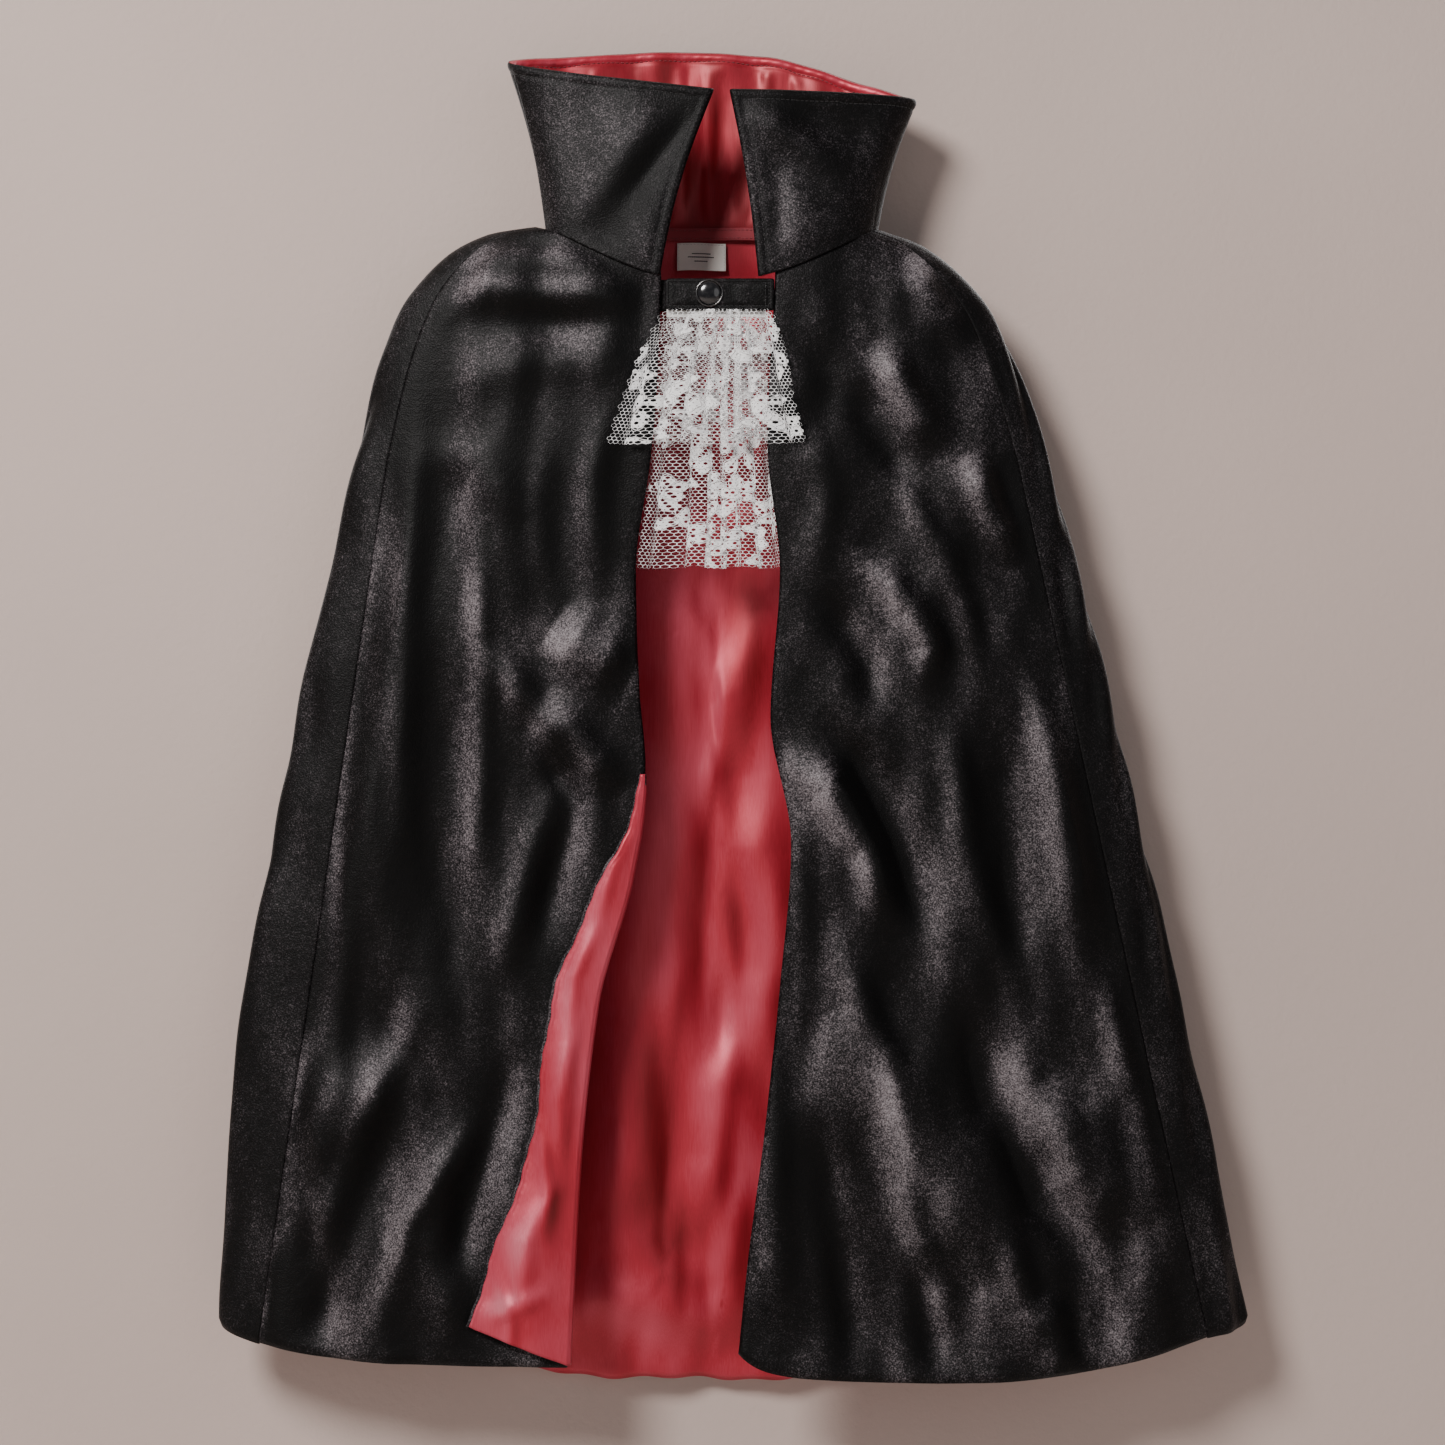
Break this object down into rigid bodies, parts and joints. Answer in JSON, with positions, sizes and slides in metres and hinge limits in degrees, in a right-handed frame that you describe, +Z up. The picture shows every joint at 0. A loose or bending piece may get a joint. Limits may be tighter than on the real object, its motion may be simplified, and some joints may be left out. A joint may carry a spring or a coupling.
{
  "type": "costume cape",
  "caption": "Child's costume cape: black velvet lined with red satin, a tall stand-up collar, a snapped neck strap and a gathered white lace jabot.",
  "frame": {"origin": "centre of the neck opening, at the height of the neck seam's sides", "axes": "+Z up along the hanging cape towards the collar, -Y to the front where the fronts open, +X to the viewer's right seen from the front"},
  "size_m": [0.6685, 0.0806, 0.8706],
  "materials": {
    "velvet": "black short-pile velvet",
    "satin": "crimson satin lining",
    "backing": "black plain-weave backing",
    "interfacing": "off-white stiff non-woven",
    "neck_tape": "red woven seam tape",
    "heading_tape": "white woven tape",
    "label": "white woven damask",
    "lace": "white corded net lace",
    "snap_cap": "glossy black enamel",
    "snap_metal": "dark nickel"
  },
  "bodies": {
    "cape": {"back_velvet": "velvet", "back_lining": "satin", "left_yoke_velvet": "velvet", "left_yoke_lining": "satin", "right_yoke_velvet": "velvet", "right_yoke_lining": "satin", "collar_velvet": "velvet", "collar_interfacing": "interfacing", "collar_lining": "satin", "neck_seam_tape": "neck_tape", "woven_label": "label", "underlap_velvet": "velvet", "underlap_backing": "backing", "snap_stud": "snap_metal", "snap_stud_eyelet": "snap_metal"},
    "left_front": {"left_front_velvet": "velvet", "left_front_lining": "satin", "left_front_turnback_velvet": "velvet", "left_front_turnback_lining": "satin"},
    "right_front": {"right_front_velvet": "velvet", "right_front_lining": "satin"},
    "neck_strap": {"strap_velvet": "velvet", "strap_interfacing": "interfacing", "strap_backing": "backing", "snap_cap": "snap_cap", "snap_ring": "snap_metal", "snap_socket": "snap_metal", "jabot_heading_tape": "heading_tape"},
    "jabot": {"jabot_lower_tier": "lace"},
    "jabot_upper": {"jabot_upper_tier": "lace"}
  },
  "joints": [
    {"name": "left_front_open", "type": "hinge", "parent": "cape", "child": "left_front", "pos_m": [-0.21, -0.0158, -0.15], "axis": [-0.1444, 0, -0.9895], "range_deg": [0, 75]},
    {"name": "right_front_open", "type": "hinge", "parent": "cape", "child": "right_front", "pos_m": [0.198, -0.0158, -0.15], "axis": [-0.2121, 0, 0.9772], "range_deg": [0, 75]},
    {"name": "strap_open", "type": "hinge", "parent": "cape", "child": "neck_strap", "pos_m": [0.042, -0.0382, -0.032], "axis": [-0.2132, 0, 0.977], "range_deg": [0, 60]},
    {"name": "jabot_lift", "type": "hinge", "parent": "neck_strap", "child": "jabot", "pos_m": [0, -0.0367, -0.0533], "axis": [-1, 0, 0], "range_deg": [0, 80]},
    {"name": "jabot_upper_lift", "type": "hinge", "parent": "jabot", "child": "jabot_upper", "pos_m": [0, -0.0367, -0.0533], "axis": [-1, 0, 0], "range_deg": [0, 50]}
  ]
}
